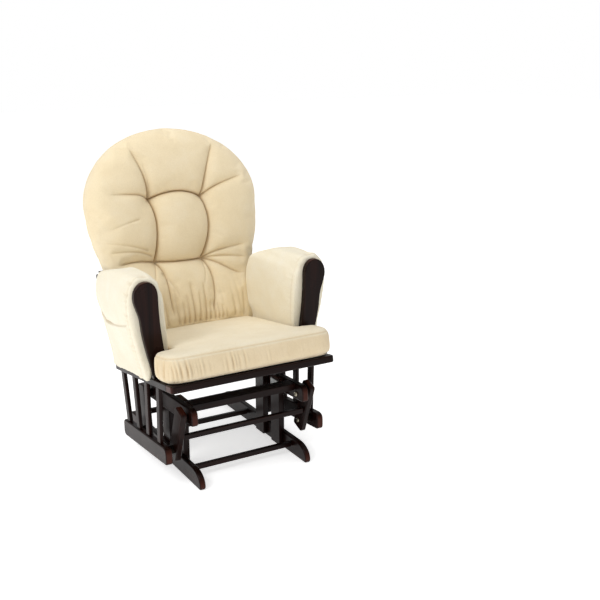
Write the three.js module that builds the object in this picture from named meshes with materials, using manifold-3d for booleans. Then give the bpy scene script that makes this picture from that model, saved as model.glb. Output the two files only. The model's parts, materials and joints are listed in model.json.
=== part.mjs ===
// Glider chair: a padded seat unit that hangs on four swing arms from a low wooden base.
// Millimetres, +Z up, front of the chair towards -Y, floor at z = 0.
import * as THREE from 'three';
import { mergeVertices } from 'three/addons/utils/BufferGeometryUtils.js';
import Module from 'manifold-3d';

const wasm = await Module();
wasm.setup();

// ---- driving dimensions -------------------------------------------------------------------
const GAP = 0.3;                     // clearance between pieces that touch
const CENTRE_Y = 92.9;               // depth coordinate of the middle of the whole chair
const SIDES = [['left', -1], ['right', 1]];
const deg = THREE.MathUtils.degToRad;

// glide linkage, as [y, z] of each pivot; a positive lean carries the lower pivot rearwards
const ARM_LENGTH = 118;
const FRONT_LEAN = deg(20);
const REAR_LEAN = deg(7.5);
const FRONT_TOP = [-195, 213];
const REAR_TOP = [92, 197];
const FRONT_LOW = hang(FRONT_TOP, FRONT_LEAN);
const REAR_LOW = hang(REAR_TOP, -REAR_LEAN);
const ARM_WIDTH = 52;
const ARM_X = [210.4, 230.4];
const ARM_TOP_END = 34;
const ARM_LOW_END = 30;
const PIN_RADIUS = 5;
const BORE_RADIUS = PIN_RADIUS + GAP;
const OPEN_BORE_RADIUS = 7;          // loose bores of the front lower pivots
const BOLT_HEAD_RADIUS = 8;
const COLLAR_RADIUS = 13;
const BLIND_DEPTH = 14;

// base
const FLOOR_RAIL = { x: [173.2, 192.9], front: -264, rear: 330, height: 55.4 };
const BEAM = { x: [179.3, 200.3], above: 34, below: 19, overhang: 42 };
const POST = { x: [159.3, 179], width: 57, top: 236, foot: 9, centres: [['front', -91], ['rear', 17]] };
const POST_PLATE = { half: 24, from: 200, to: 232, thickness: 2, holes: [[-16, 224], [2, 208], [16, 218]] };
const PLATE_HOLE_RADIUS = 2.4;
const BOARD_THICKNESS = 22;
const FRONT_BOARD_Y = [-190, -146];
const REAR_BOARD_Y = [50, 94];
const STRETCHERS = [['front', -170, 26], ['rear', 134, 30]];
const CROSS_BAR = { depth: 14, height: 16 };
const SWING_BAR = { down: 65, across: { front: -12, rear: 14 } };

// seat unit
const SEAT_TILT = deg(8.46);
const SEAT_FRONT = [-270, 349];      // front top edge of the platform
const PLATFORM = { half: 274.3, thickness: 22, rail: 40, front: 45, side: 473, rear: 525, rearDepth: 95 };
const SEAT_SLAT = { first: 110, pitch: 125, half: 38, level: [-18, -6] };
const LOWER_RAIL = { x: [252.4, 274.4], front: -207, rear: 149, height: 54.4, tilt: deg(5.14), top: 137.8 };
const SIDE_SLAT = { x: 263.4, thickness: 12, width: 26 };
const SLAT_TOPS = [-147, -50, 52, 151];
const SLAT_FEET = [-141, -51, 28, 115];
const PANEL_Y = [-135, -115];
const ARM_PANEL_FOOT = [221, 272];     // inner and outer edge at the platform
const ARM_RAIL = {
  x: [245.5, 283.5], front: -114.5, rear: 319, topFront: 600, slope: deg(6.3), thickness: 22,
};

// back, in its own plane that leans back from the rear of the platform
const RECLINE = deg(15);
const BACK_FOOT = [250.5, 270];
const STILE = { inner: 175, outer: 205, neck: 219, foot: -12, height: 520, thickness: 22 };
const STILE_EAR = { outer: 265, from: 262, to: 300 };     // shoulder behind the end of the arm rail
const BACK_RAIL = { from: 60, to: 110 };
const BACK_SLAT = { half: 22, depth: [4, 18] };
const CREST = { outer: [277, 205], inner: [247, 172] };
const BACK_SLATS = [-118, 0, 118];

// soft goods
const SEAT_CUSHION = { wing: 280, wingDepth: 119, half: 212, length: 512, thickness: 87, corner: 55 };
const BACK_CUSHION = { thickness: 118, bottom: 88, foot: 207, waist: 242, wide: 302, wideAt: 500, top: 742 };
const PAD_Y = [-113, 196];

const WOOD = 0x2a1512;
const CREAM = 0xf0e2c4;

// ---- helpers ------------------------------------------------------------------------------
const chair = new THREE.Group();
chair.position.y = -CENTRE_Y;

const platform = new THREE.Group();
platform.position.set(0, SEAT_FRONT[0], SEAT_FRONT[1]);
platform.rotation.x = -SEAT_TILT;
chair.add(platform);

const back = new THREE.Group();
back.position.set(0, BACK_FOOT[0], BACK_FOOT[1]);
back.rotation.x = -RECLINE;
chair.add(back);

function material(kind) {
  const looks = {
    wood: { color: WOOD, roughness: 0.32, metalness: 0 },
    fabric: { color: CREAM, roughness: 0.9, metalness: 0 },
    brass: { color: 0xb9a26a, roughness: 0.35, metalness: 1 },
    steel: { color: 0x6f7270, roughness: 0.45, metalness: 1 },
  };
  return new THREE.MeshStandardMaterial(looks[kind]);
}

function place(name, geometry, kind = 'wood', parent = chair) {
  const mesh = new THREE.Mesh(geometry, material(kind));
  mesh.name = name;
  parent.add(mesh);
  return mesh;
}

// Extrudes an outline to a board with eased edges that keeps the outline's own size.
function board(shape, thickness, ease = 2.5, steps = 1) {
  const geometry = new THREE.ExtrudeGeometry(shape, {
    depth: thickness - 2 * ease,
    bevelEnabled: ease > 0,
    bevelThickness: ease,
    bevelSize: ease,
    bevelOffset: -ease,
    bevelSegments: steps,
    curveSegments: 7,
  });
  return geometry.translate(0, 0, ease);
}

const SIDEWAYS = new THREE.Matrix4().makeBasis(
  new THREE.Vector3(0, 1, 0), new THREE.Vector3(0, 0, 1), new THREE.Vector3(1, 0, 0));
const UPRIGHT = new THREE.Matrix4().makeBasis(
  new THREE.Vector3(1, 0, 0), new THREE.Vector3(0, 0, 1), new THREE.Vector3(0, -1, 0));

// Board whose outline is drawn in (y, z), between two distances x from the middle plane.
function sideBoard(shape, span, side, ease) {
  const start = side > 0 ? span[0] : -span[1];
  return board(shape, span[1] - span[0], ease).applyMatrix4(SIDEWAYS).translate(start, 0, 0);
}

// Board whose outline is drawn in (x, z), between two depths y.
function frontBoard(shape, span, ease, steps) {
  return board(shape, span[1] - span[0], ease, steps).applyMatrix4(UPRIGHT).translate(0, span[1], 0);
}

// Outline through corner points, each rounded by its own radius ([u, v, radius]).
function rounded(points) {
  const shape = new THREE.Shape();
  const count = points.length;
  points.forEach(([u, v, radius], i) => {
    const corner = new THREE.Vector2(u, v);
    const before = new THREE.Vector2(...points[(i + count - 1) % count]).sub(corner).setLength(radius);
    const after = new THREE.Vector2(...points[(i + 1) % count]).sub(corner).setLength(radius);
    const from = corner.clone().add(before);
    const to = corner.clone().add(after);
    if (i === 0) shape.moveTo(from.x, from.y);
    else shape.lineTo(from.x, from.y);
    if (radius > 0) shape.quadraticCurveTo(u, v, to.x, to.y);
  });
  shape.closePath();
  return shape;
}

function rectangle(u, v, radius = 0) {
  return rounded([[u[0], v[0], radius], [u[1], v[0], radius], [u[1], v[1], radius], [u[0], v[1], radius]]);
}

function bar(x, y, z, ease = 2.5) {
  return sideBoard(rectangle(y, z), x, 1, ease);
}

function circle(centre, radius) {
  return new THREE.Path().absarc(centre[0], centre[1], radius, 0, 2 * Math.PI, true);
}

function toSolid(geometry) {
  const bare = geometry.clone();
  bare.deleteAttribute('normal');
  bare.deleteAttribute('uv');
  const merged = mergeVertices(bare, 1e-3);
  return new wasm.Manifold(new wasm.Mesh({
    numProp: 3,
    vertProperties: new Float32Array(merged.attributes.position.array),
    triVerts: new Uint32Array(merged.index.array),
  }));
}

function toGeometry(solid) {
  const mesh = solid.getMesh();
  const geometry = new THREE.BufferGeometry();
  geometry.setAttribute('position', new THREE.BufferAttribute(new Float32Array(mesh.vertProperties), 3));
  geometry.setIndex(new THREE.BufferAttribute(new Uint32Array(mesh.triVerts), 1));
  return geometry;
}

// Round cutter along X, from distance x0 to x1 of the middle plane.
function bore(centre, radius, x0, x1, side) {
  const cutter = new THREE.CylinderGeometry(radius, radius, x1 - x0, 24).rotateZ(Math.PI / 2);
  return toSolid(cutter.translate(side * (x0 + x1) / 2, centre[0], centre[1]));
}

function cut(geometry, cutters) {
  return toGeometry(cutters.reduce((solid, cutter) => solid.subtract(cutter), toSolid(geometry)));
}

// Lower pivot of a swing arm that leans from its upper pivot.
function hang(top, lean) {
  return [top[0] + ARM_LENGTH * Math.sin(lean), top[1] - ARM_LENGTH * Math.cos(lean)];
}

// Point on the line through two pivots, measured along and across it (across to the rear).
function alongArm(top, low, down, across) {
  const run = new THREE.Vector2(low[0] - top[0], low[1] - top[1]).normalize();
  return [top[0] + run.x * down - run.y * across, top[1] + run.y * down + run.x * across];
}

// ---- base ---------------------------------------------------------------------------------
function floorRailShape() {
  const { front, rear, height } = FLOOR_RAIL;
  const shape = new THREE.Shape();
  shape.moveTo(front + 10, 0);
  shape.lineTo(rear - 8, 0);
  shape.quadraticCurveTo(rear, 0, rear, 10);
  shape.quadraticCurveTo(rear, height, rear - 45, height);
  shape.lineTo(front + 62, height);
  shape.bezierCurveTo(front + 30, height, front, height - 18, front, 12);
  shape.quadraticCurveTo(front, 0, front + 10, 0);
  return shape;
}

const beamRun = new THREE.Vector2(REAR_TOP[0] - FRONT_TOP[0], REAR_TOP[1] - FRONT_TOP[1]).normalize();

// Point beside the line of the upper pivots, from the front one.
function alongBeam(along, up) {
  return [
    FRONT_TOP[0] + beamRun.x * along - beamRun.y * up,
    FRONT_TOP[1] + beamRun.y * along + beamRun.x * up,
  ];
}

function beamShape() {
  const length = Math.hypot(REAR_TOP[0] - FRONT_TOP[0], REAR_TOP[1] - FRONT_TOP[1]);
  const { above, below, overhang } = BEAM;
  const shape = rounded([
    [...alongBeam(-overhang, -below), 12], [...alongBeam(length + overhang, -below), 12],
    [...alongBeam(length + overhang, above), 24], [...alongBeam(-overhang, above), 24],
  ]);
  shape.holes.push(circle(FRONT_TOP, BORE_RADIUS), circle(REAR_TOP, BORE_RADIUS));
  return shape;
}

// Post that stands on the floor rail with a rebated foot behind it, and laps the beam above.
function postShape(side) {
  const [inner, outer] = POST.x;
  const step = FLOOR_RAIL.x[0] - GAP;
  const ledge = FLOOR_RAIL.height + GAP;
  const points = [[inner, POST.foot], [step, POST.foot], [step, ledge], [outer, ledge], [outer, POST.top],
    [inner, POST.top]];
  return new THREE.Shape(points.map(([x, z]) => new THREE.Vector2(side * x, z)));
}

function plateShape(centre) {
  const { half, from, to, holes } = POST_PLATE;
  const shape = rectangle([centre - half, centre + half], [from, to], 4);
  for (const [dy, z] of holes) {
    shape.holes.push(circle([centre + dy, z], PLATE_HOLE_RADIUS));
  }
  return shape;
}

function buildBase() {
  for (const [name, side] of SIDES) {
    place(`floor_rail_${name}`, sideBoard(floorRailShape(), FLOOR_RAIL.x, side, 3));
    place(`beam_${name}`, sideBoard(beamShape(), BEAM.x, side, 3));
    for (const [where, centre] of POST.centres) {
      const span = [centre - POST.width / 2, centre + POST.width / 2];
      place(`post_${where}_${name}`, frontBoard(postShape(side), span, 1.5));
    }
    const plateX = [POST.x[0] - GAP - POST_PLATE.thickness, POST.x[0] - GAP];
    const plate = sideBoard(plateShape(POST.centres[0][1]), plateX, side, 0);
    place(`post_plate_${name}`, plate, 'steel');
  }
  const beamInside = [-BEAM.x[0] + GAP, BEAM.x[0] - GAP];
  for (const [where, span] of [['front', FRONT_BOARD_Y], ['rear', REAR_BOARD_Y]]) {
    const top = alongBeam(span[0] - FRONT_TOP[0], BEAM.above)[1] - 1;
    place(`cross_board_${where}`, bar(beamInside, span, [top - BOARD_THICKNESS, top]));
  }
  const railInside = [-FLOOR_RAIL.x[0] + GAP, FLOOR_RAIL.x[0] - GAP];
  for (const [where, y, z] of STRETCHERS) {
    const depth = [y - CROSS_BAR.depth / 2, y + CROSS_BAR.depth / 2];
    place(`floor_stretcher_${where}`, bar(railInside, depth, [z, z + CROSS_BAR.height]));
  }
}

// ---- glide linkage ------------------------------------------------------------------------
function swingArmShape(top, low) {
  const half = ARM_WIDTH / 2;
  const end = ARM_LENGTH + ARM_LOW_END;
  return rounded([
    [...alongArm(top, low, -ARM_TOP_END, -half), 11], [...alongArm(top, low, end, -half), 8],
    [...alongArm(top, low, end, half), 12], [...alongArm(top, low, -ARM_TOP_END, half), 14],
  ]);
}

// Bolt with a domed head, a shank, and a spacer collar between the two boards that it joins.
function pivotPin(head, collar, tip) {
  const profile = [
    [0, head - 5], [BOLT_HEAD_RADIUS - 2.5, head - 5], [BOLT_HEAD_RADIUS, head - 3],
    [BOLT_HEAD_RADIUS, head - GAP], [PIN_RADIUS, head - GAP], [PIN_RADIUS, collar[0] + GAP],
    [COLLAR_RADIUS, collar[0] + GAP], [COLLAR_RADIUS, collar[1] - GAP], [PIN_RADIUS, collar[1] - GAP],
    [PIN_RADIUS, tip], [0, tip],
  ];
  return new THREE.LatheGeometry(profile.map(([r, x]) => new THREE.Vector2(r, x)), 24).rotateZ(-Math.PI / 2);
}

function placePin(name, side, centre, stations) {
  const pin = pivotPin(...stations);
  if (side < 0) pin.rotateZ(Math.PI);
  place(name, pin.translate(0, centre[0], centre[1]), 'brass');
}

function buildLinkage() {
  const upper = [BEAM.x[0], [BEAM.x[1], ARM_X[0]], ARM_X[0] + BLIND_DEPTH - 1];
  const lower = [ARM_X[0], [ARM_X[1], LOWER_RAIL.x[0]], LOWER_RAIL.x[0] + BLIND_DEPTH - 1];
  for (const [where, top, low, play] of [
    ['front', FRONT_TOP, FRONT_LOW, OPEN_BORE_RADIUS], ['rear', REAR_TOP, REAR_LOW, BORE_RADIUS]]) {
    for (const [name, side] of SIDES) {
      const plain = sideBoard(swingArmShape(top, low), ARM_X, side, 3);
      const blind = bore(top, BORE_RADIUS, ARM_X[0] - 1, ARM_X[0] + BLIND_DEPTH, side);
      const through = bore(low, play, ARM_X[0] - 1, ARM_X[1] + 1, side);
      place(`swing_arm_${where}_${name}`, cut(plain, [blind, through]));
      placePin(`pivot_upper_${where}_${name}`, side, top, upper);
      placePin(`pivot_lower_${where}_${name}`, side, low, lower);
    }
    const centre = alongArm(top, low, SWING_BAR.down, SWING_BAR.across[where]);
    const depth = [centre[0] - CROSS_BAR.depth / 2, centre[0] + CROSS_BAR.depth / 2];
    const height = [centre[1] - CROSS_BAR.height / 2, centre[1] + CROSS_BAR.height / 2];
    place(`swing_bar_${where}`, bar([-ARM_X[0] + GAP, ARM_X[0] - GAP], depth, height));
  }
}

// ---- seat unit ----------------------------------------------------------------------------
const platformUnderside = (y) => SEAT_FRONT[1] - PLATFORM.thickness / Math.cos(SEAT_TILT)
  - (y - SEAT_FRONT[0]) * Math.tan(SEAT_TILT);
const lowerRailTop = (y) => LOWER_RAIL.top - (y - SEAT_FRONT[0]) * Math.tan(LOWER_RAIL.tilt);

function lowerRailShape() {
  const { front, rear, height } = LOWER_RAIL;
  return rounded([
    [front, lowerRailTop(front) - height, 12], [rear, lowerRailTop(rear) - height, 22],
    [rear, lowerRailTop(rear), 10], [front, lowerRailTop(front), 26],
  ]);
}

function sideSlatShape(top, foot) {
  const half = SIDE_SLAT.width / 2;
  const corners = [[foot - half, lowerRailTop], [foot + half, lowerRailTop], [top + half, platformUnderside],
    [top - half, platformUnderside]];
  const lift = [GAP, GAP, -GAP, -GAP];
  return new THREE.Shape(corners.map(([y, edge], i) => new THREE.Vector2(y, edge(y) + lift[i])));
}

// Arm front: wide rounded head, slight waist, foot that draws in towards the platform.
function armPanelShape(side) {
  const foot = platformUnderside(PANEL_Y[0]) + PLATFORM.thickness / Math.cos(SEAT_TILT) + GAP;
  const shape = new THREE.Shape();
  const [inner, outer] = ARM_PANEL_FOOT;
  shape.moveTo(side * inner, foot);
  shape.lineTo(side * outer, foot);
  shape.bezierCurveTo(side * 283, foot + 60, side * 302, foot + 130, side * 303, foot + 165);
  shape.bezierCurveTo(side * 305, foot + 205, side * 323, foot + 225, side * 323, foot + 252);
  shape.bezierCurveTo(side * 323, foot + 278, side * 306, foot + 298, side * 284, foot + 298);
  shape.bezierCurveTo(side * 262, foot + 298, side * 249, foot + 280, side * 248, foot + 250);
  shape.bezierCurveTo(side * 248, foot + 180, side * 243, foot + 120, side * inner, foot);
  return shape;
}

function buildLowerFrame() {
  for (const [name, side] of SIDES) {
    const rail = sideBoard(lowerRailShape(), LOWER_RAIL.x, side, 3);
    const bores = [FRONT_LOW, REAR_LOW].map((pivot) =>
      bore(pivot, BORE_RADIUS, LOWER_RAIL.x[0] - 1, LOWER_RAIL.x[0] + BLIND_DEPTH, side));
    place(`lower_rail_${name}`, cut(rail, bores));
    const span = [SIDE_SLAT.x - SIDE_SLAT.thickness / 2, SIDE_SLAT.x + SIDE_SLAT.thickness / 2];
    SLAT_TOPS.forEach((top, i) => {
      place(`side_slat_${i + 1}_${name}`, sideBoard(sideSlatShape(top, SLAT_FEET[i]), span, side, 2));
    });
  }
}

function flatBoard(shape, z, ease = 2.5) {
  return board(shape, z[1] - z[0], ease).translate(0, 0, z[0]);
}

function buildPlatform() {
  const { half, thickness, rail, front, side, rear, rearDepth } = PLATFORM;
  const level = [-thickness, 0];
  const inside = half - rail - GAP;
  const frontShape = rounded([[-half, 0, 14], [half, 0, 14], [half, front, 0], [-half, front, 0]]);
  place('seat_front_rail', flatBoard(frontShape, level), 'wood', platform);
  for (const [name, sign] of SIDES) {
    const x = sign > 0 ? [half - rail, half] : [-half, -half + rail];
    place(`seat_side_rail_${name}`, flatBoard(rectangle(x, [front + GAP, side]), level), 'wood', platform);
  }
  const rearShape = rectangle([-inside, inside], [rear - rearDepth, rear]);
  place('seat_rear_rail', flatBoard(rearShape, level), 'wood', platform);
  for (let i = 0; i < 3; i++) {
    const middle = SEAT_SLAT.first + i * SEAT_SLAT.pitch;
    const slat = rectangle([-inside, inside], [middle - SEAT_SLAT.half, middle + SEAT_SLAT.half]);
    place(`seat_slat_${i + 1}`, flatBoard(slat, SEAT_SLAT.level, 1.5), 'wood', platform);
  }
}

function buildArms() {
  const { x, front, rear, topFront, slope, thickness } = ARM_RAIL;
  for (const [name, side] of SIDES) {
    place(`arm_front_${name}`, frontBoard(armPanelShape(side), PANEL_Y, 3, 2));
    const length = (rear - front) / Math.cos(slope) - thickness * Math.tan(slope);
    const rail = sideBoard(rectangle([0, length], [-thickness, 0]), x, side, 3);
    rail.rotateX(-slope).translate(0, front + thickness * Math.sin(slope), topFront);
    place(`arm_rail_${name}`, rail);
  }
}

// ---- back frame ---------------------------------------------------------------------------
function stileShape(side) {
  const { inner, outer, neck, foot, height } = STILE;
  const shape = new THREE.Shape();
  shape.moveTo(side * inner, foot);
  shape.lineTo(side * outer, foot);
  shape.lineTo(side * outer, STILE_EAR.from);
  shape.lineTo(side * STILE_EAR.outer, STILE_EAR.from);
  shape.lineTo(side * STILE_EAR.outer, STILE_EAR.to);
  shape.lineTo(side * neck, STILE_EAR.to);
  shape.bezierCurveTo(side * (neck + 13), 345, side * 268, 420, side * CREST.outer[0], height);
  shape.lineTo(side * CREST.inner[0], height);
  shape.bezierCurveTo(side * 238, 420, side * 200, 345, side * (inner + 6), 290);
  shape.closePath();
  return shape;
}

// Half ring on top of the two stiles.
function crestShape() {
  const base = STILE.height + GAP;
  const shape = new THREE.Shape();
  shape.absellipse(0, base, CREST.outer[0], CREST.outer[1], 0, Math.PI, false);
  shape.absellipse(0, base, CREST.inner[0], CREST.inner[1], Math.PI, 0, true);
  shape.closePath();
  return shape;
}

// Height of the arch's inner edge at a distance from the middle.
function underCrest(x) {
  return STILE.height + GAP + CREST.inner[1] * Math.sqrt(1 - (x / CREST.inner[0]) ** 2);
}

function buildBack() {
  const depth = [0, STILE.thickness];
  for (const [name, side] of SIDES) {
    place(`back_stile_${name}`, frontBoard(stileShape(side), depth, 3), 'wood', back);
  }
  place('back_crest', frontBoard(crestShape(), depth, 3), 'wood', back);
  const reach = STILE.inner - GAP;
  const lower = rectangle([-reach, reach], [BACK_RAIL.from, BACK_RAIL.to]);
  place('back_lower_rail', frontBoard(lower, depth, 2), 'wood', back);
  BACK_SLATS.forEach((centre, i) => {
    const { half, depth: inset } = BACK_SLAT;
    const top = underCrest(Math.abs(centre) + half) - 4;
    const slat = rectangle([centre - half, centre + half], [BACK_RAIL.to + GAP, top]);
    place(`back_slat_${i + 1}`, frontBoard(slat, inset, 2), 'wood', back);
  });
}

// ---- soft goods ---------------------------------------------------------------------------
function seatCushionShape() {
  const { wing, wingDepth, half, length, corner } = SEAT_CUSHION;
  return rounded([
    [-wing, 2, corner], [wing, 2, corner], [wing, wingDepth, 20], [half, wingDepth, 0], [half, length, 30],
    [-half, length, 30], [-half, wingDepth, 0], [-wing, wingDepth, 20],
  ]);
}

function backCushionShape() {
  const { bottom, foot, waist, wide, wideAt, top } = BACK_CUSHION;
  const shape = new THREE.Shape();
  shape.moveTo(-foot + 25, bottom);
  shape.lineTo(foot - 25, bottom);
  shape.quadraticCurveTo(foot, bottom, foot + 4, bottom + 30);
  shape.bezierCurveTo(foot + 10, 200, waist - 6, 250, waist, 300);
  shape.bezierCurveTo(waist + 34, 335, wide, 400, wide, wideAt);
  shape.absellipse(0, wideAt, wide, top - wideAt, 0, Math.PI, false);
  shape.bezierCurveTo(-wide, 400, -waist - 34, 335, -waist, 300);
  shape.bezierCurveTo(-waist + 6, 250, -foot - 10, 200, -foot - 4, bottom + 30);
  shape.quadraticCurveTo(-foot, bottom, -foot + 25, bottom);
  return shape;
}

// Cross-section of an arm pad: it bulges at arm height and draws in to the platform.
function padOutline(side) {
  const shape = new THREE.Shape();
  shape.moveTo(side * 217, 250);
  shape.lineTo(side * 291, 250);
  shape.bezierCurveTo(side * 296, 400, side * 338, 480, side * 336, 545);
  shape.bezierCurveTo(side * 334, 604, side * 320, 638, side * 280, 638);
  shape.bezierCurveTo(side * 240, 638, side * 216, 604, side * 215, 540);
  shape.lineTo(side * 217, 250);
  return shape;
}

function padHollow(side) {
  const inner = [[243, 606], [233, 560], [235, 240]];
  const outer = [[276, 240], [283, 400], [312, 500], [312, 560], [300, 606]];
  return new THREE.Shape([...inner, ...outer].map(([x, z]) => new THREE.Vector2(side * x, z)));
}

// Side view of an arm pad: hem above the platform, sloping top, rear edge that leans with the back.
function padProfile() {
  const [front, rear] = PAD_Y;
  const rearHem = rear - 20;
  const hem = (y) => platformUnderside(y) + PLATFORM.thickness / Math.cos(SEAT_TILT) + 2;
  return rounded([
    [front, hem(front), 4], [rearHem, hem(rearHem), 4], [rear, 594, 40], [50, 627, 60], [front, 636, 8],
  ]);
}

function padGeometry(side) {
  const section = toSolid(frontBoard(padOutline(side), [PAD_Y[0] - 20, PAD_Y[1] + 20], 1));
  const profile = toSolid(sideBoard(padProfile(), [200, 350], side, 1));
  const slope = new THREE.Matrix4().makeShear(0, 0, 0, -Math.tan(ARM_RAIL.slope), 0, 0);
  const tunnel = frontBoard(padHollow(side), [PAD_Y[0] - 30, PAD_Y[1] + 30], 1);
  tunnel.translate(0, -PAD_Y[0], 0).applyMatrix4(slope).translate(0, PAD_Y[0], 0);
  const hollow = toSolid(tunnel);
  return toGeometry(section.intersect(profile).subtract(hollow));
}

function buildSoftGoods() {
  const seat = flatBoard(seatCushionShape(), [GAP, SEAT_CUSHION.thickness], 12);
  place('seat_cushion', seat, 'fabric', platform);
  const backPad = frontBoard(backCushionShape(), [-BACK_CUSHION.thickness - 1, -1], 22, 2);
  place('back_cushion', backPad, 'fabric', back);
  for (const [name, side] of SIDES) {
    place(`arm_pad_${name}`, padGeometry(side), 'fabric');
  }
}

buildBase();
buildLinkage();
buildLowerFrame();
buildPlatform();
buildArms();
buildBack();
buildSoftGoods();

export default chair;
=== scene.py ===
"""Looks of the glider chair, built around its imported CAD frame. Metres, +Z up, front towards -Y."""
import json
import math

import bmesh
import bpy
import numpy as np
from mathutils import Matrix, Vector


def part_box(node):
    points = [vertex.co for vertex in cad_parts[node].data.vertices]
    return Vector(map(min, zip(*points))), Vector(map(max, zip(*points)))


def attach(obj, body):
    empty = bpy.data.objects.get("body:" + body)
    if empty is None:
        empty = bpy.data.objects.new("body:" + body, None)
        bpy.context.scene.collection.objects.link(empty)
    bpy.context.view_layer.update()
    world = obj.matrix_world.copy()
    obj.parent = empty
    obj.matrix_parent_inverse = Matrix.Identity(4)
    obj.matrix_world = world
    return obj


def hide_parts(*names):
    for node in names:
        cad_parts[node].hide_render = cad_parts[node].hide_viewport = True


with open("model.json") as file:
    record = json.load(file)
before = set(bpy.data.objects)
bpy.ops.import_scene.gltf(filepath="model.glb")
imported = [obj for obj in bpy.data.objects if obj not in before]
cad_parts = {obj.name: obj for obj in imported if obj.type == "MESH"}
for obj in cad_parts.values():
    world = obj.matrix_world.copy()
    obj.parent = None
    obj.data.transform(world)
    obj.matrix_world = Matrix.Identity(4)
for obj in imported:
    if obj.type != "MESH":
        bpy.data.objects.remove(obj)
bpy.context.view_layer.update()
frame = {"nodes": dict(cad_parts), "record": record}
NODES = frame["nodes"]
MM = 0.001


def tilted(y, z, degrees):
    """Frame in millimetres of a part that leans back about X, as a matrix to the row frame."""
    lean = Matrix.Rotation(math.radians(-degrees), 4, "X")
    return np.array(Matrix.Translation((0, y * MM, z * MM)) @ lean @ Matrix.Scale(MM, 4))


SEAT = tilted(-362.9, 349.0, 8.46)       # front top edge of the seat platform
BACK = tilted(157.6, 270.0, 15.0)        # foot of the back frame's front face
UPRIGHT = tilted(-92.9, 0.0, 0.0)        # the CAD source's own frame


# ---- materials ----------------------------------------------------------------------------
MIX_FIRST, MIX_SECOND, MIX_RESULT = 6, 7, 2     # colour sockets of a Mix node
FOLD_SHADE_TINT = (0.60, 0.47, 0.33)                  # painted shade: multiplies the colour of cloth deep in a fold


def srgb(code):
    """Linear colour of a six-digit sRGB code."""
    parts = [int(code[i:i + 2], 16) / 255 for i in (0, 2, 4)]
    return [c / 12.92 if c <= 0.04045 else ((c + 0.055) / 1.055) ** 2.4 for c in parts] + [1.0]


def feed(socket, value):
    """Gives an input a plain value, or the output of another node."""
    if isinstance(value, bpy.types.NodeSocket):
        socket.id_data.links.new(value, socket)
    else:
        socket.default_value = value


def settle(made, **settings):
    """Sets a shader node up. A setting names a property of the node, or else one of its inputs."""
    for key, value in settings.items():
        if hasattr(made, key):
            setattr(made, key, value)
        else:
            feed(made.inputs[key.replace("_", " ")], value)


def node(tree, kind, **settings):
    made = tree.nodes.new("ShaderNode" + kind)
    settle(made, **settings)
    return made


def ramp(tree, value, stops):
    """Colour at a value, between stops given as (position, colour)."""
    made = node(tree, "ValToRGB", Fac=value)
    elements = made.color_ramp.elements
    while len(elements) < len(stops):
        elements.new(0.5)
    for element, (position, colour) in zip(elements, stops):
        element.position = position
        element.color = colour
    return made.outputs["Color"]


def noise(tree, place, **settings):
    return node(tree, "TexNoise", Vector=place, **settings).outputs["Fac"]


def spread(tree, value, source, target):
    """Value mapped from one range to another, and kept inside it."""
    made = node(tree, "MapRange", From_Min=source[0], From_Max=source[1], To_Min=target[0],
                To_Max=target[1], Value=value)
    return made.outputs["Result"]


def calculated(tree, operation, *values):
    made = node(tree, "Math", operation=operation)
    for socket, value in zip(made.inputs, values):
        feed(socket, value)
    return made.outputs[0]


def mixed(tree, blend, factor, first, second):
    made = node(tree, "Mix", data_type="RGBA", blend_type=blend, Factor=factor)
    feed(made.inputs[MIX_FIRST], first)
    feed(made.inputs[MIX_SECOND], second)
    return made.outputs[MIX_RESULT]


def facing(tree, axis):
    """How squarely a face looks along an axis, either way (0 to 1)."""
    normal = node(tree, "NewGeometry").outputs["Normal"]
    parts = node(tree, "SeparateXYZ", Vector=normal)
    return calculated(tree, "ABSOLUTE", parts.outputs[axis])


def bumped(tree, height, strength, distance):
    """Normal for a height; the distance is in metres."""
    made = node(tree, "Bump", Strength=strength, Distance=distance, Height=height)
    return made.outputs["Normal"]


def shell(name):
    """New material with its tree, its principled shader and an object-space coordinate."""
    material = bpy.data.materials.new(name)
    material.use_nodes = True
    tree = material.node_tree
    place = node(tree, "TexCoord").outputs["Object"]
    return material, tree, tree.nodes["Principled BSDF"], place


def wood(name, axis):
    """Espresso lacquered hardwood whose grain runs along one axis."""
    across_grain, along_grain = 38.0, 2.2
    material, tree, shader, place = shell(name)
    stretch = [across_grain] * 3
    stretch[axis] = along_grain
    drawn = node(tree, "Mapping", Scale=stretch, Vector=place).outputs["Vector"]
    grain = noise(tree, drawn, Scale=1.0, Detail=7.0, Roughness=0.62, Distortion=1.1)
    stain = [(0.30, srgb("0e0504")), (0.52, srgb("190a07")), (0.72, srgb("2a120c"))]
    # End grain takes the stain redder than the faces; this red-brown on the ends is also a painted
    # highlight.
    end_grain_and_highlight = calculated(tree, "POWER", facing(tree, axis), 4.0)
    colour = mixed(tree, "MIX", end_grain_and_highlight, ramp(tree, grain, stain), srgb("3e1b11"))
    pores = noise(tree, drawn, Scale=9.0, Detail=3.0, Roughness=0.7)
    smear = noise(tree, place, Scale=7.0, Detail=4.0, Roughness=0.55)
    settle(shader, Base_Color=colour, Roughness=spread(tree, smear, (0.3, 0.7), (0.24, 0.38)),
           Specular_IOR_Level=0.10, Coat_Weight=0.04, Coat_Roughness=0.12,
           Normal=bumped(tree, pores, strength=0.22, distance=0.0006))
    return material


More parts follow.
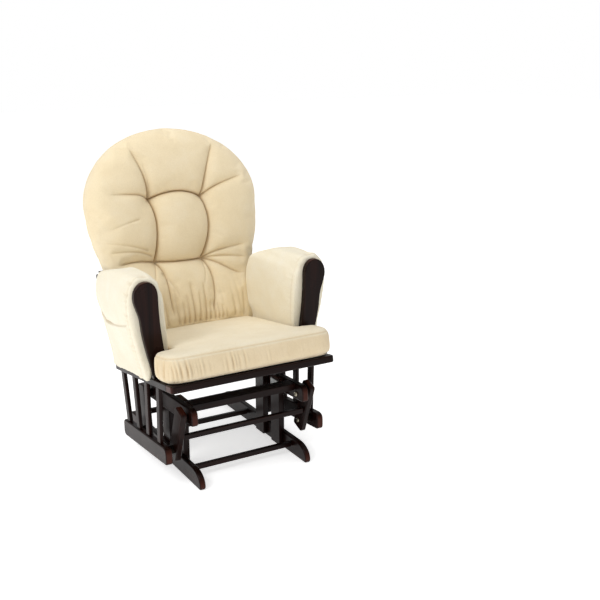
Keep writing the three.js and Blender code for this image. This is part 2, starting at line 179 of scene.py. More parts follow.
def fabric(name, shades, upright=(1, 1, 1)):
    """Cream brushed cotton: a fine weave, a soft nap and slightly uneven dye in three shades. Folds
    are darkened as painted shade, and upright faces take a tint that is painted shade."""
    material, tree, shader, place = shell(name)
    threads = 0.0
    for axis in "XYZ":
        wave = node(tree, "TexWave", wave_type="BANDS", bands_direction=axis, Vector=place,
                    Scale=330.0, Distortion=1.6, Detail=1.0, Detail_Scale=3.0)
        threads = calculated(tree, "ADD", threads, wave.outputs["Fac"])
    nap = noise(tree, place, Scale=16.0, Detail=6.0, Roughness=0.62)
    slub = noise(tree, place, Scale=420.0, Detail=3.0, Roughness=0.7)
    dye = ramp(tree, nap, [(0.25 * (i + 1), srgb(code)) for i, code in enumerate(shades)])
    speck = ramp(tree, slub, [(0.25, (0.90, 0.89, 0.87, 1)), (0.60, (1, 1, 1, 1))])
    colour = mixed(tree, "MULTIPLY", 1.0, dye, speck)
    # Painted shade: upright faces are multiplied by the upright tint.
    side = spread(tree, facing(tree, 2), (0.35, 0.85), (1.0, 0.0))
    colour = mixed(tree, "MULTIPLY", side, colour, (*upright, 1))
    # Painted shade inside folds, read from the fold amount stored on the vertices.
    fold = node(tree, "Attribute", attribute_name="fold").outputs["Fac"]
    colour = mixed(tree, "MULTIPLY", fold, colour, (*FOLD_SHADE_TINT, 1))
    height = calculated(tree, "MULTIPLY_ADD", slub, 0.8, threads)
    settle(shader, Base_Color=colour, Roughness=0.88, Specular_IOR_Level=0.25, Sheen_Weight=0.22,
           Sheen_Roughness=0.45, Normal=bumped(tree, height, strength=0.35, distance=0.0004))
    return material


def metal(name, dark, light, roughness):
    """Plated metal with faint scratches and tarnish."""
    material, tree, shader, place = shell(name)
    tarnish = noise(tree, place, Scale=90.0, Detail=5.0, Roughness=0.6)
    tone = ramp(tree, tarnish, [(0.35, srgb(dark)), (0.65, srgb(light))])
    scratch = noise(tree, place, Scale=900.0, Detail=2.0, Distortion=2.5)
    rough = spread(tree, tarnish, (0.3, 0.7), (roughness, roughness + 0.18))
    settle(shader, Base_Color=tone, Metallic=1.0, Roughness=rough,
           Normal=bumped(tree, scratch, strength=0.12, distance=0.0002))
    return material


WOOD = [wood(f"espresso_wood_{letter}", axis) for axis, letter in enumerate("xyz")]
# The three creams are lit and shaded copies of one fabric: the seat is lighter than the back and the
# arm pads lighter still, as painted light.
CREAM = fabric("cream_fabric", ("ecdab6", "f0dfbc", "f2e3c4"))
# The seat's upright band is darkened by its tint as painted shade.
SEAT_CREAM = fabric("seat_cream_fabric", ("ecdfc2", "f0e4c9", "f3e9d1"),
                    upright=(0.94, 0.87, 0.78))
LIT_CREAM = fabric("lit_cream_fabric", ("f1e8d0", "f4ecd6", "f6f0de"))
BRASS = metal("bolt_brass", "8d8470", "cdc5b0", 0.26)
STEEL = metal("plate_steel", "7a7c7b", "a9aba9", 0.32)
BLACKED_AND_SOCKET_SHADE = metal("blacked_steel_and_socket_shade", "17130f", "2a2420", 0.42)


# ---- wood and hardware --------------------------------------------------------------------
WELD = 2e-6                             # vertices closer than this, in metres, are joined
FLAT_ANGLE = math.radians(0.6)          # faces that differ by less become one face
ROUNDED_ANGLE = math.radians(24)        # edges sharper than this are rounded over
BOLT_HEAD_RADIUS = 8.3                  # this and the next two in millimetres
SOCKET_RADIUS = 3.2
SOCKET_DEPTH = 2.4
GRAIN_X = ("cross_board", "floor_stretcher", "swing_bar", "seat_front", "seat_rear", "seat_slat",
           "back_lower", "back_crest")
GRAIN_Y = ("floor_rail", "beam", "lower_rail", "seat_side", "arm_rail")


def grain_of(name):
    if name.startswith(GRAIN_X):
        return 0
    return 1 if name.startswith(GRAIN_Y) else 2


def placed(name, data):
    """New object in the scene, for a mesh, a light or a camera."""
    obj = bpy.data.objects.new(name, data)
    bpy.context.scene.collection.objects.link(obj)
    return obj


def dress(obj, material):
    obj.data.materials.clear()
    obj.data.materials.append(material)


def rounded_copy(name, material, round_over, body):
    """Piece that stands for a CAD node, with the same shape and its sharp edges rounded over."""
    mesh = NODES[name].data.copy()
    mesh.name = name + "_looks"
    bm = bmesh.new()
    bm.from_mesh(mesh)
    bmesh.ops.remove_doubles(bm, verts=bm.verts, dist=WELD)
    bmesh.ops.dissolve_limit(bm, angle_limit=FLAT_ANGLE, verts=bm.verts, edges=bm.edges)
    bm.to_mesh(mesh)
    bm.free()
    mesh.shade_smooth()
    obj = placed(name + "_looks", mesh)
    edge = obj.modifiers.new("round_over", "BEVEL")
    edge.width = round_over
    edge.segments = 2
    edge.limit_method = "ANGLE"
    edge.angle_limit = ROUNDED_ANGLE
    edge.use_clamp_overlap = True
    weight = obj.modifiers.new("flat_faces", "WEIGHTED_NORMAL")
    weight.keep_sharp = False
    dress(obj, material)
    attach(obj, body)
    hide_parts(name)
    return obj


def add_socket(obj):
    """Sinks a round socket in the bolt's head, and blacks the spacer collar and the socket; the black
    in the socket is painted shade in its recess.
    """
    on_cap, below_cap, past_socket = 1e-5, 1e-4, 4 * MM
    bm = bmesh.new()
    bm.from_mesh(obj.data)
    low, high = (Vector(corner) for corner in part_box(obj.name.removesuffix("_looks")))
    middle = (low + high) / 2
    head_end = min(bm.verts, key=lambda v: abs(v.co.x)).co.x

    def depth(face):
        return abs(face.calc_center_median().x - head_end)

    caps = [f for f in bm.faces if abs(f.normal.x) > 0.99 and depth(f) < on_cap]
    bmesh.ops.join_triangles(bm, faces=caps, angle_face_threshold=0.1, angle_shape_threshold=3.1)
    bmesh.ops.dissolve_faces(bm, faces=[f for f in caps if f.is_valid])
    cap = max((f for f in bm.faces if depth(f) < on_cap), key=lambda f: f.calc_area())
    rim = max((v.co - cap.calc_center_median()).length for v in cap.verts)
    bmesh.ops.inset_region(bm, faces=[cap], thickness=rim - SOCKET_RADIUS * MM, depth=0)
    bmesh.ops.inset_region(bm, faces=[cap], thickness=on_cap, depth=-SOCKET_DEPTH * MM)
    for face in bm.faces:
        centre = face.calc_center_median()
        radius = math.hypot(centre.y - middle.y, centre.z - middle.z)
        in_socket = below_cap < depth(face) < past_socket and radius < SOCKET_RADIUS * MM
        # Black on the collar is its own colour; black in the socket is painted shade.
        face.material_index = 1 if radius > BOLT_HEAD_RADIUS * MM or in_socket else 0
    bm.to_mesh(obj.data)
    bm.free()
    obj.data.materials.append(BLACKED_AND_SOCKET_SHADE)


def build_hard_parts():
    # material, slot and round-over in millimetres
    slots = {"pivot": (BRASS, "bolt_metal", 0.5), "post_plate": (STEEL, "plate_steel", 0.3)}
    for body, members in frame["record"]["behaviour"]["bodies"].items():
        for name in members:
            if "cushion" in name or "arm_pad" in name:
                continue
            kind = next((slots[k] for k in slots if name.startswith(k)), None)
            material, slot, radius = kind or (WOOD[grain_of(name)], "dark_wood", 1.4)
            piece = rounded_copy(name, material, radius * MM, body)
            if name.startswith("pivot"):
                add_socket(piece)


# ---- soft goods ---------------------------------------------------------------------------
# Lengths here are millimetres in the frame of the piece: SEAT, BACK or UPRIGHT.
CLOTH_FRAMES = 20
GRIP_LEVELS = 20                        # steps in how firmly a vertex is held
REMESH_SIZE = 5                         # of both cushions; the arm pads are finer


def to_local(points, place):
    inverse = np.linalg.inv(place)
    return points @ inverse[:3, :3].T + inverse[:3, 3]


def to_world(points, place):
    return points @ place[:3, :3].T + place[:3, 3]


def read_points(mesh):
    flat = np.empty(len(mesh.vertices) * 3)
    mesh.vertices.foreach_get("co", flat)
    return flat.reshape(-1, 3)


def write_points(mesh, points):
    mesh.vertices.foreach_set("co", points.ravel())
    mesh.update()


def apply(obj):
    """Bakes the object's modifiers into its mesh."""
    graph = bpy.context.evaluated_depsgraph_get()
    mesh = bpy.data.meshes.new_from_object(obj.evaluated_get(graph))
    obj.modifiers.clear()
    obj.data = mesh


def remesh(obj, voxel):
    modifier = obj.modifiers.new("remesh", "REMESH")
    modifier.mode = "VOXEL"
    modifier.voxel_size = voxel * MM
    apply(obj)


def smooth(obj, rounds):
    modifier = obj.modifiers.new("smooth", "SMOOTH")
    modifier.factor = 0.5
    modifier.iterations = rounds
    apply(obj)


def subdivide(obj):
    modifier = obj.modifiers.new("subdivision", "SUBSURF")
    modifier.levels = 1
    modifier.render_levels = 1
    apply(obj)


def inflate(obj, held, pressure, cap, slack):
    """No vertex moves further than cap, in millimetres."""
    before = read_points(obj.data)
    group = obj.vertex_groups.new(name="held")
    levels = np.round(np.clip(held, 0, 1) * GRIP_LEVELS).astype(int)
    for level in np.unique(levels[levels > 0]):
        group.add(np.nonzero(levels == level)[0].tolist(), level / GRIP_LEVELS, "REPLACE")
    cloth = obj.modifiers.new("puff", "CLOTH")
    cloth.settings.quality = 6
    cloth.settings.mass = 0.3
    cloth.settings.tension_stiffness = 18
    cloth.settings.compression_stiffness = 12
    cloth.settings.shear_stiffness = 6
    cloth.settings.bending_stiffness = 3
    cloth.settings.air_damping = 2
    cloth.settings.use_pressure = True
    cloth.settings.uniform_pressure_force = pressure
    cloth.settings.shrink_min = -slack
    cloth.settings.vertex_group_mass = "held"
    cloth.settings.effector_weights.gravity = 0
    cloth.collision_settings.use_collision = False
    cloth.point_cache.frame_end = CLOTH_FRAMES
    for step in range(1, CLOTH_FRAMES + 1):
        bpy.context.scene.frame_set(step)
    apply(obj)
    bpy.context.scene.frame_set(1)
    obj.vertex_groups.clear()
    moved = read_points(obj.data) - before
    length = np.linalg.norm(moved, axis=1)
    moved *= np.minimum(1, cap * MM / np.maximum(length, 1e-9))[:, None]
    write_points(obj.data, before + moved)


def new_object(name, points, faces):
    mesh = bpy.data.meshes.new(name)
    mesh.from_pydata([tuple(p) for p in points], [], faces)
    mesh.update()
    return placed(name, mesh)


def copy_of(name, new_name):
    """New object with the welded mesh of a CAD node."""
    mesh = NODES[name].data.copy()
    bm = bmesh.new()
    bm.from_mesh(mesh)
    bmesh.ops.remove_doubles(bm, verts=bm.verts, dist=WELD)
    bm.to_mesh(mesh)
    bm.free()
    return placed(new_name, mesh)


def reshape(obj, place, change):
    """Moves the vertices by a function of their millimetre coordinates in a local frame."""
    local = to_local(read_points(obj.data), place)
    write_points(obj.data, to_world(change(local), place))


def normals_of(mesh):
    flat = np.empty(len(mesh.vertices) * 3)
    mesh.vertex_normals.foreach_get("vector", flat)
    return flat.reshape(-1, 3)


def emboss(obj, place, height):
    """Moves the vertices along their normals by a height in millimetres, which is a function of
    their coordinates and normals in a local frame."""
    points = read_points(obj.data)
    normals = normals_of(obj.data)
    rise = height(to_local(points, place), normals @ np.linalg.inv(place)[:3, :3].T * MM)
    write_points(obj.data, points + normals * (rise * MM)[:, None])


def store_fold_shade(obj, amount):
    """Stores how far each vertex lies inside a fold (0 to 1), which the fabric darkens as painted
    shade.
    """
    values = np.clip(amount, 0, 1).astype(np.float32)
    obj.data.attributes.new("fold", "FLOAT", "POINT").data.foreach_set("value", values)


def bell(distance, width):
    """1 at no distance, falling smoothly to nothing at about twice the width."""
    return np.exp(-(distance / width) ** 2)


def ease(value, low, high):
    """0 below low and 1 above high, with a smooth step between."""
    t = np.clip((value - low) / (high - low), 0, 1)
    return t * t * (3 - 2 * t)


def ripple(values, seed, spacing):
    """Smooth random curve of three waves, with a bump about every spacing, within about 1.4."""
    rng = np.random.default_rng(seed)
    total = np.zeros_like(values)
    for octave in range(1, 4):
        step = spacing * (0.7 + 0.45 * octave)
        total += np.sin(values * 2 * math.pi / step + rng.uniform(0, 6.28)) / 2.2
    return total


def swell(points, seed, size):
    """Smooth random field of seven waves, with lumps of about the given size, mostly within 1."""
    rng = np.random.default_rng(seed)
    total = np.zeros(len(points))
    for _ in range(7):
        direction = rng.normal(size=3)
        direction *= math.pi / (size * rng.uniform(0.7, 1.4) * np.linalg.norm(direction))
        total += np.sin(points @ direction + rng.uniform(0, 6.28))
    return total / 3.2


def along_curve(points, curve):
    """Distance of each point from a polyline, and how far along it the nearest spot is (0 to 1)."""
    curve = np.asarray(curve, float)
    lengths = np.linalg.norm(np.diff(curve, axis=0), axis=1)
    starts = np.concatenate([[0], np.cumsum(lengths)])
    best = np.full(len(points), 1e9)
    where = np.zeros(len(points))
    for i, length in enumerate(lengths):
        run = (curve[i + 1] - curve[i]) / length
        t = np.clip((points - curve[i]) @ run, 0, length)
        distance = np.linalg.norm(points - curve[i] - t[:, None] * run, axis=1)
        closer = distance < best
        best = np.where(closer, distance, best)
        where = np.where(closer, (starts[i] + t) / starts[-1], where)
    return best, where


def rounded_path(points, rounds=3):
    """Corner-cut copy of a polyline."""
    points = np.asarray(points, float)
    for _ in range(rounds):
        a, b = points[:-1], points[1:]
        cut = np.stack([0.75 * a + 0.25 * b, 0.25 * a + 0.75 * b], 1).reshape(-1, points.shape[1])
        points = np.vstack([points[:1], cut[1:-1], points[-1:]])
    return points


def soften(obj, name, material, body, node_name):
    """Makes a finished soft piece stand for its CAD node."""
    obj.name = name
    obj.data.name = name
    obj.data.shade_smooth()
    dress(obj, material)
    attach(obj, body)
    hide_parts(node_name)


# Back cushion: half width at heights up the back, in millimetres.
BACK_HEIGHTS = [74, 81, 91, 108, 150, 200, 232, 270, 300, 332, 375, 431, 500]
BACK_HALVES = [242, 247, 249, 249, 248, 248, 251, 258, 265, 275, 288, 298, 302]
BACK_TOP = 744
BACK_RIM = 58                           # depth of the seam in front of the frame
BACK_REST = 1.5                         # gap between the cushion and the frame
# How far the front stands out from the frame at some heights, without its crown.
FULLNESS_HEIGHTS = [90, 150, 300, 420, 520, 620, 742]
BACK_FULLNESS = [110, 112, 106, 110, 117, 113, 102]
TUFTS = [(-93, 514), (95, 510), (-98, 306), (72, 300)]
DEEPEST_CREASE = 20
# Creases of the back as (depth at the start, depth at the end, points across and up the back).
CREASES = [
    (20, 20, [(-93, 514), (-48, 528), (5, 533), (52, 525), (95, 510)]),
    (19, 19, [(-93, 514), (-80, 455), (-83, 393), (-98, 306)]),
    (19, 19, [(95, 510), (107, 442), (101, 379), (72, 300)]),
    (18, 18, [(-98, 306), (-53, 299), (20, 297), (72, 300)]),
    (20, 3, [(-93, 514), (-100, 560), (-118, 620), (-150, 690)]),
    (10, 2, [(-90, 518), (-92, 560), (-112, 640)]),
    (14, 3, [(-93, 514), (-125, 528), (-175, 532), (-240, 534)]),
    (18, 4, [(95, 510), (105, 560), (122, 615), (156, 692)]),
    (15, 3, [(95, 510), (125, 530), (165, 546), (250, 568)]),
    (13, 4, [(72, 300), (100, 312), (140, 322), (228, 330)]),
    (11, 4, [(72, 300), (110, 300), (160, 296), (226, 282)]),
    (14, 6, [(72, 300), (110, 282), (150, 254), (185, 233), (212, 230)]),
    (15, 7, [(72, 300), (86, 262), (90, 215), (86, 165), (72, 104)]),
    (15, 7, [(-98, 306), (-80, 268), (-74, 225), (-73, 180), (-70, 104)]),
    (18, 8, [(-98, 306), (-130, 309), (-175, 313), (-238, 306)]),
    (9, 3, [(-112, 326), (-150, 340), (-200, 346), (-268, 350)]),
    (6, 2, [(-130, 345), (-180, 362), (-272, 384)]),
    (5, 1, [(-150, 446), (-200, 436), (-262, 416)]),
    (7, 2, [(-98, 300), (-112, 262), (-128, 222)]),
    (6, 2, [(70, 290), (66, 250), (48, 205)]),
    (8, 2, [(-88, 262), (-64, 232), (-48, 200), (-42, 165)]),
]
# Gathers that rise from the bottom seam of the back, in the same form.
GATHERS = [
    (7, 2, [(-56, 92), (-57, 150), (-60, 215)]),
    (9, 2, [(-36, 92), (-34, 130), (-36, 165)]),
    (9, 2, [(-17, 92), (-18, 140), (-22, 192)]),
    (10, 3, [(3, 92), (1, 150), (-4, 232)]),
    (9, 2, [(22, 92), (24, 140), (24, 196)]),
    (10, 3, [(44, 92), (46, 150), (44, 222)]),
    (8, 2, [(60, 92), (62, 125), (64, 160)]),
    (9, 2, [(80, 92), (80, 125), (78, 160)]),
    (8, 2, [(93, 92), (93, 118), (90, 145)]),
    (8, 2, [(107, 92), (106, 112), (104, 138)]),
    (6, 1, [(122, 92), (121, 108), (119, 128)]),
    (5, 1, [(152, 92), (150, 125), (146, 165)]),
    (6, 2, [(-96, 92), (-98, 140), (-104, 200)]),
    (6, 2, [(-118, 92), (-120, 130), (-126, 175)]),
    (5, 1, [(-142, 92), (-144, 120), (-150, 160)]),
    (5, 1, [(184, 92), (186, 135), (190, 190)]),
]


def back_half_width(z):
    low = np.interp(z, BACK_HEIGHTS, BACK_HALVES)
    top = BACK_TOP - BACK_HEIGHTS[-1]
    arch = BACK_HALVES[-1] * np.sqrt(np.clip(1 - ((z - BACK_HEIGHTS[-1]) / top) ** 2, 0, 1))
    return np.where(z > BACK_HEIGHTS[-1], arch, low)


def edge_distance(x, z, outline):
    """Distance to the outline, which is a dense list of points."""
    best = np.full(x.shape, 1e9)
    for u, v in outline:
        best = np.minimum(best, np.hypot(x - u, z - v))
    return best


def round_edge(distance, reach, fullness):
    """0 at an edge and 1 from reach inwards; a fullness of 2 makes a quarter of an ellipse."""
    inward = 1 - np.clip(distance / reach, 0, 1)
    return np.clip(1 - inward ** fullness, 0, 1) ** (1 / fullness)


def back_front_face(z, edge):
    """Depth of the cushion's front in front of the frame, without tufts or creases."""
    full = np.interp(z, FULLNESS_HEIGHTS, BACK_FULLNESS)
    crown = 10 * (1 - np.exp(-edge / 80))
    return BACK_RIM + (full - BACK_RIM) * round_edge(edge, 54, 2.6) + crown


def pillow_mesh(name, x, z, front, rear, place):
    """Closed mesh from a front and a rear sheet over the same grid, joined round their edges."""
    rows, columns = x.shape
    count = rows * columns
    sheets = [np.stack([x, y, z], 2).reshape(-1, 3) for y in (front, rear)]
    faces = []
    for i in range(rows - 1):
        for j in range(columns - 1):
            a = i * columns + j
            quad = [a, a + 1, a + columns + 1, a + columns]
            faces += [quad, [count + v for v in reversed(quad)]]
    grid = np.arange(count).reshape(rows, columns)
    for line in (grid[::-1, 0], grid[:, -1], grid[0], grid[-1, ::-1]):
        for a, b in zip(line.tolist(), line[1:].tolist()):
            faces.append([b, a, count + a, count + b])
    return new_object(name, to_world(np.vstack(sheets), place), faces)


def crease_run(flat, start, end, points):
    """Distance from a crease, and its depth beside each point. A crease that gets shallower or
    deeper fades out at its end."""
    distance, t = along_curve(flat, rounded_path(points, 2))
    depth = start + (end - start) * t
    return distance, depth if start == end else depth * (1 - ease(t, 0.82, 1.0))


def crease_depth(flat, creases, reach):
    """Broad valleys of a net of creases, sharp at the bottom."""
    valley = np.zeros(len(flat))
    for crease in creases:
        distance, depth = crease_run(flat, *crease)
        valley += (depth * np.exp(-distance / (reach * (0.45 + 0.55 * depth / DEEPEST_CREASE)))) ** 4
    return valley ** 0.25


def fold_lines(flat, creases, depth, width):
    """Fine fold along each crease, as deep as given where the crease is at its deepest."""
    fold = np.zeros(len(flat))
    for crease in creases:
        distance, valley = crease_run(flat, *crease)
        fold = np.maximum(fold, valley / DEEPEST_CREASE * depth * bell(distance, width))
    return fold


def build_back_cushion():
    rows, columns = 150, 91
    # Rows and columns crowd towards the edges, where the sheets curve most.
    rise = (1 - np.cos(np.linspace(0, math.pi, rows))) / 2
    heights = BACK_HEIGHTS[0] + (BACK_TOP - BACK_HEIGHTS[0]) * rise
    across = np.sin(np.linspace(-math.pi / 2, math.pi / 2, columns))
    z = np.repeat(heights[:, None], columns, 1)
    half = back_half_width(heights)
    x = half[:, None] * across[None, :]
    side = np.stack([half, heights], 1)
    # Below the bottom edge, so that the front stays full down there.
    base_points, base_drop = 40, 34
    base = np.stack([np.linspace(0, half[0], base_points),
                     np.full(base_points, heights[0] - base_drop)], 1)
    ring = np.vstack([side, side * [-1, 1], base, base * [-1, 1]])
    edge = edge_distance(x, z, ring)
    front = -back_front_face(z, edge)
    rear = -BACK_REST - (BACK_RIM - BACK_REST) * (1 - round_edge(edge, 40, 2.6))
    obj = pillow_mesh("back_pad", x, z, front, rear, BACK)
    remesh(obj, REMESH_SIZE)
    smooth(obj, 3)

    def in_front(y):
        """0 behind the seam and 1 in front of it."""
        return ease(-y, BACK_RIM - 14, BACK_RIM + 20)

    def quilted(local):
        flat = local[:, [0, 2]]
        sink = 1.25 * crease_depth(flat, CREASES, 25)
        for centre in TUFTS:
            r = np.hypot(*(flat - centre).T)
            sink += 15 * np.exp(-r / 13) + 14 * bell(r, 50)
        local[:, 1] += in_front(local[:, 1]) * np.clip(sink, -6, 80)
        return local

    reshape(obj, BACK, quilted)
    local = to_local(read_points(obj.data), BACK)
    flat = local[:, [0, 2]]
    # The rear and the main creases keep their places while the front puffs up between them.
    held = 1 - ease(-local[:, 1], 8, 30)
    for start, end, points in CREASES:
        distance, t = along_curve(flat, rounded_path(points, 2))
        grip = (0.35 + 0.65 * (start + (end - start) * t) / DEEPEST_CREASE) * bell(distance, 5)
        held = np.maximum(held, grip * in_front(local[:, 1]) * (start > 9))
    inflate(obj, held, pressure=4, cap=24, slack=0.012)
    smooth(obj, 5)
    subdivide(obj)

    def stitched(local):
        x, y, z = local.T
        flat = local[:, [0, 2]]
        sink = fold_lines(flat, CREASES, 13, 3.0) + fold_lines(flat, GATHERS, 8, 3.2)
        sink += 0.85 * crease_depth(flat, GATHERS, 15)
        puckers = 1.2 * ripple(x + 0.10 * (z - 150), seed=11, spacing=17)
        sink -= puckers * (1 - ease(z, 130, 250)) * ease(z, 84, 104)
        sink -= 1.2 * swell(local, seed=21, size=95)
        # Painted shade along the creases and the gathers: thin lines and a broad faint part.
        crease_shade_lines = fold_lines(flat, CREASES, 0.85, 2.3) + fold_lines(flat, GATHERS, 0.6, 2.4)
        crease_shade_broad = fold_lines(flat, CREASES, 0.18, 9) + fold_lines(flat, GATHERS, 0.55, 7)
        store_fold_shade(obj, in_front(y) * (crease_shade_lines + crease_shade_broad))
        local[:, 1] += in_front(y) * sink
        return local

    reshape(obj, BACK, stitched)
    soften(obj, "back_cushion_pad", CREAM, "seat_unit", "back_cushion")


# Seat cushion, measured back from the platform's front edge and up from its top.
SEAT_HALF_WIDTH = 280
SEAT_CROWN = 10
SEAT_SEAMS = (76, 9)                    # heights of the two seams round the band
SEAT_SEAM_DEPTH, SEAT_SEAM_WIDTH = 1.6, 2.2


def build_seat_cushion():
    obj = copy_of("seat_cushion", "seat_pad")
    remesh(obj, REMESH_SIZE)
    smooth(obj, 26)

    def crowned(local):
        x, v, w = local.T
        middle = np.clip(1 - (x / 285) ** 2, 0, 1) * np.clip(1 - ((v - 240) / 260) ** 2, 0, 1)
        lumps = 1.2 * swell(local, seed=31, size=120)
        local[:, 2] += ease(w, 40, 80) * (SEAT_CROWN * middle + lumps)
        # The front band bulges forward.
        local[:, 1] -= bell(w - 42, 34) * 6 * ease(-v, -70, -10)
        return local

    reshape(obj, SEAT, crowned)
    subdivide(obj)

    def sewn(local, normal):
        x, v, w = local.T
        upright = 1 - ease(np.abs(normal[:, 2]), 0.45, 0.9)
        along = np.where(np.abs(normal[:, 0]) > np.abs(normal[:, 1]), v, x)
        # The band is gathered in patches, more so to the left.
        patches = ease(ripple(along, seed=5, spacing=90) - 0.8 * x / SEAT_HALF_WIDTH, -0.1, 0.9)
        folds = ripple(along + 0.12 * (w - 40), seed=3, spacing=9) * (0.18 + 0.82 * patches)
        gathers = (2.9 - 1.0 * x / SEAT_HALF_WIDTH) * upright * folds * bell(w - 38, 27)
        seams = SEAT_SEAM_DEPTH * sum(bell(w - height, SEAT_SEAM_WIDTH) for height in SEAT_SEAMS)
        seams = seams * ease(upright, 0.0, 0.25)
        # Painted shade in the seam grooves and in the gather valleys.
        store_fold_shade(obj, 0.09 * seams + 0.12 * np.maximum(-gathers, 0))
        return gathers - seams

    emboss(obj, SEAT, sewn)
    soften(obj, "seat_cushion_pad", SEAT_CREAM, "seat_unit", "seat_cushion")


# Arm pads, in the CAD source's own frame.
PAD_FRONT = -114.3
PAD_SEAM = -99                          # seam behind the arm panel
PAD_INNER = 217                         # distance across of the CAD pad's inner face
# Fabric behind the arm panel that closes the front of the pad, as points across and up.
PAD_FACE = [(226, 338), (284, 338), (293, 400), (322, 500), (322, 560), (308, 612), (280, 626),
            (250, 612), (226, 560)]
PAD_FACE_DEPTHS = (PAD_FRONT + 1, PAD_FRONT + 18)
# Inner edge of the arm panel: distance across at heights.
PANEL_HEIGHTS = [329, 400, 450, 520, 580, 610]
PANEL_INNER = [221, 222, 223, 225, 229, 234]
# Mouth of the pocket on the outer face: its height at places from front to rear.
MOUTH_PLACES = [-90, -77, -16, 54, 119, 145, 175]
MOUTH_HEIGHTS = [492, 488, 472, 459, 450, 456, 470]


def add_prism(obj, outline, depths):
    """Adds a closed prism to the mesh: an outline in (x, z), drawn out between two depths y."""
    points = [(x, y, z) for y in depths for x, z in outline]
    bm = bmesh.new()
    bm.from_mesh(obj.data)
    verts = [bm.verts.new(p) for p in to_world(np.array(points, float), UPRIGHT)]
    count = len(outline)
    faces = [bm.faces.new(verts[:count]), bm.faces.new(verts[count:][::-1])]
    for i in range(count):
        j = (i + 1) % count
        faces.append(bm.faces.new((verts[j], verts[i], verts[count + i], verts[count + j])))
    bmesh.ops.recalc_face_normals(bm, faces=faces)
    bm.to_mesh(obj.data)
    bm.free()


def build_arm_pad(name, side):
    obj = copy_of(f"arm_pad_{name}", f"pad_{name}")
    add_prism(obj, [(side * x, z) for x, z in PAD_FACE], PAD_FACE_DEPTHS)
    remesh(obj, 4.5)
    smooth(obj, 24)

    def filled(local):
        x, y, z = local.T.copy()
        out = side * x
        middle = np.clip(1 - ((y - 45) / 165) ** 2, 0, 1)
        outer = ease(out, 280, 300)
        inner = 1 - ease(out, 222, 232)
        # Stuffing bulges both faces and crowns the top.
        high = ease(z, 350, 480)
        local[:, 0] += side * middle * high * (4 * outer - 6 * inner)
        local[:, 2] += 4 * middle * ease(z, 600, 620)
        # At the front the inner face ends 5 mm inside the edge of the arm panel.
        near = 1 - ease(y, -114, -45)
        drawn = np.interp(z, PANEL_HEIGHTS, PANEL_INNER) - 5 - PAD_INNER
        local[:, 0] += side * drawn * near * (1 - ease(out, 222, 250)) * (1 - ease(z, 590, 625))
        # The rear end slopes forward at the top. Its outer face comes in, and its inner face swells.
        local[:, 1] -= 13 * ease(y, 150, 196) * ease(z, 500, 590)
        local[:, 0] -= side * 7 * ease(y, 90, 190) * outer
        local[:, 0] -= side * 11 * ease(y, 40, 170) * ease(z, 378, 428) * inner
        # Smoothing shrank the pad, so its front goes back to where it was.
        shift = local[:, 1].min() - PAD_FRONT
        local[:, 1] -= shift * (1 - ease(y, -112, -60))
        # The flap's lower front corner juts out and hangs lower.
        tip = (1 - ease(y, -110, -55)) * (1 - ease(z, 335, 420)) * ease(out, 262, 284)
        local[:, 1] -= 19 * tip
        local[:, 2] -= 5 * tip
        return local

    reshape(obj, UPRIGHT, filled)
    subdivide(obj)

    def sewn(local, normal):
        x, y, z = local.T
        out = side * x
        # The outer face, the top and the inner face, but not the hollow under the arm rail.
        skin = ease(normal[:, 0] * side, -0.2, 0.4) * ease(out, 262, 285)
        skin = skin + ease(normal[:, 2], 0.1, 0.6) + (1 - ease(out, 219, 226))
        skin = np.clip(skin, 0, 1)
        seam = 1.6 * bell(y - PAD_SEAM, 2.4) * skin
        puckers = (1.4 + 1.2 * ease(z, 540, 600)) * bell(y - (PAD_SEAM + 7), 14)
        puckers *= ripple(z + 0.4 * out, seed=7, spacing=13)
        puckers *= skin * (0.2 + 0.8 * ease(out, 226, 262))
        slack = 1.9 * swell(local, seed=40 + side, size=85)
        slack = slack + 0.8 * swell(local, seed=50 + side, size=34)
        # The pocket stands off the outer face below its mouth, which gapes towards the rear.
        outside = ease(out, 270, 290) * ease(normal[:, 0] * side, 0.0, 0.5)
        above = z - np.interp(y, MOUTH_PLACES, MOUTH_HEIGHTS)
        pocket = 3.2 * (1 - ease(above, -1.5, 1.5)) * ease(y, -92, -86) * (1 - ease(y, 168, 176))
        gape = 4.6 * bell(above - 3, 3.0) * ease(y, 10, 100) * (1 - ease(y, 150, 172))
        # Painted shade along the pocket's mouth and in its gape, along the seam and in the puckers.
        line = 0.35 * bell(above - 1, 2.6) * ease(y, -92, -80) * (1 - ease(y, 160, 174))
        pocket_shade = outside * (line + 0.07 * gape)
        seam_shade = 0.22 * bell(y - PAD_SEAM, 2.6) * skin
        store_fold_shade(obj, seam_shade + pocket_shade + 0.10 * np.maximum(-puckers, 0))
        return slack * skin + puckers - seam + outside * (pocket - gape)

    emboss(obj, UPRIGHT, sewn)
    soften(obj, f"arm_rest_pad_{name}", LIT_CREAM, "seat_unit", f"arm_pad_{name}")


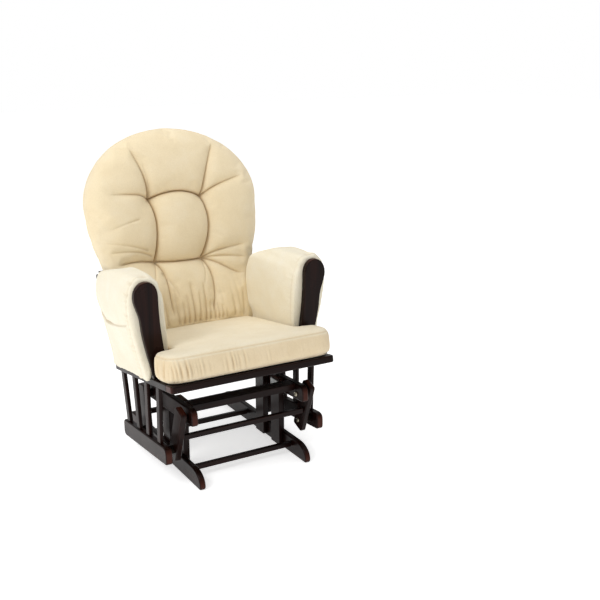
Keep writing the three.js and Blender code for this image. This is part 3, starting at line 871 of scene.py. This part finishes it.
# ---- stage --------------------------------------------------------------------------------
FLOOR_REACH = 14
WHITE = (1, 1, 1, 1)
WORLD_LIGHT, WORLD_SEEN = 0.49, 1.0     # how bright the surroundings light things, and how they look
CAMERA_PLACE = (-1.2226, -2.6729, 1.312)
CAMERA_TURN, CAMERA_RISE = -30.70, 15.92        # degrees round from straight ahead, and above level
CAMERA_LENS = 55.93


def area_light(name, place, target, size, power):
    data = bpy.data.lights.new(name, "AREA")
    data.shape = "SQUARE"
    data.size = size
    data.energy = power
    obj = placed(name, data)
    obj.location = place
    obj.rotation_mode = "QUATERNION"
    obj.rotation_quaternion = (Vector(target) - Vector(place)).to_track_quat("-Z", "Y")


def build_stage():
    sides = [(-1, -1), (1, -1), (1, 1), (-1, 1)]
    corners = [(x * FLOOR_REACH, y * FLOOR_REACH, 0) for x, y in sides]
    floor = new_object("floor", corners, [[0, 1, 2, 3]])
    material, _, shader, _ = shell("pale_floor")
    settle(shader, Base_Color=(0.9, 0.9, 0.9, 1), Roughness=0.6, Specular_IOR_Level=0.1,
           Emission_Color=WHITE, Emission_Strength=0.62)
    floor.data.materials.append(material)
    world = bpy.data.worlds.new("studio")
    world.use_nodes = True
    tree = world.node_tree
    seen = node(tree, "LightPath").outputs["Is Camera Ray"]
    strength = spread(tree, seen, (0, 1), (WORLD_LIGHT, WORLD_SEEN))
    settle(tree.nodes["Background"], Color=WHITE, Strength=strength)
    bpy.context.scene.world = world
    area_light("key", (-2.8, -1.1, 3.0), (0, 0, 0.5), size=1.4, power=56)
    area_light("overhead", (0.2, 0.3, 3.2), (0, 0, 0.4), size=2.2, power=30)
    bpy.context.scene.view_settings.view_transform = "Standard"


def build_camera():
    data = bpy.data.cameras.new("camera")
    data.lens = CAMERA_LENS
    data.sensor_width = 36
    camera = placed("camera", data)
    turn, rise = math.radians(CAMERA_TURN), math.radians(CAMERA_RISE)
    outward = Vector((math.sin(turn) * math.cos(rise), -math.cos(turn) * math.cos(rise),
                      math.sin(rise)))
    camera.location = CAMERA_PLACE
    camera.rotation_mode = "QUATERNION"
    camera.rotation_quaternion = (-outward).to_track_quat("-Z", "Y")
    bpy.context.scene.camera = camera


build_camera()
build_stage()
build_hard_parts()
build_seat_cushion()
build_back_cushion()
build_arm_pad("left", -1)
build_arm_pad("right", 1)
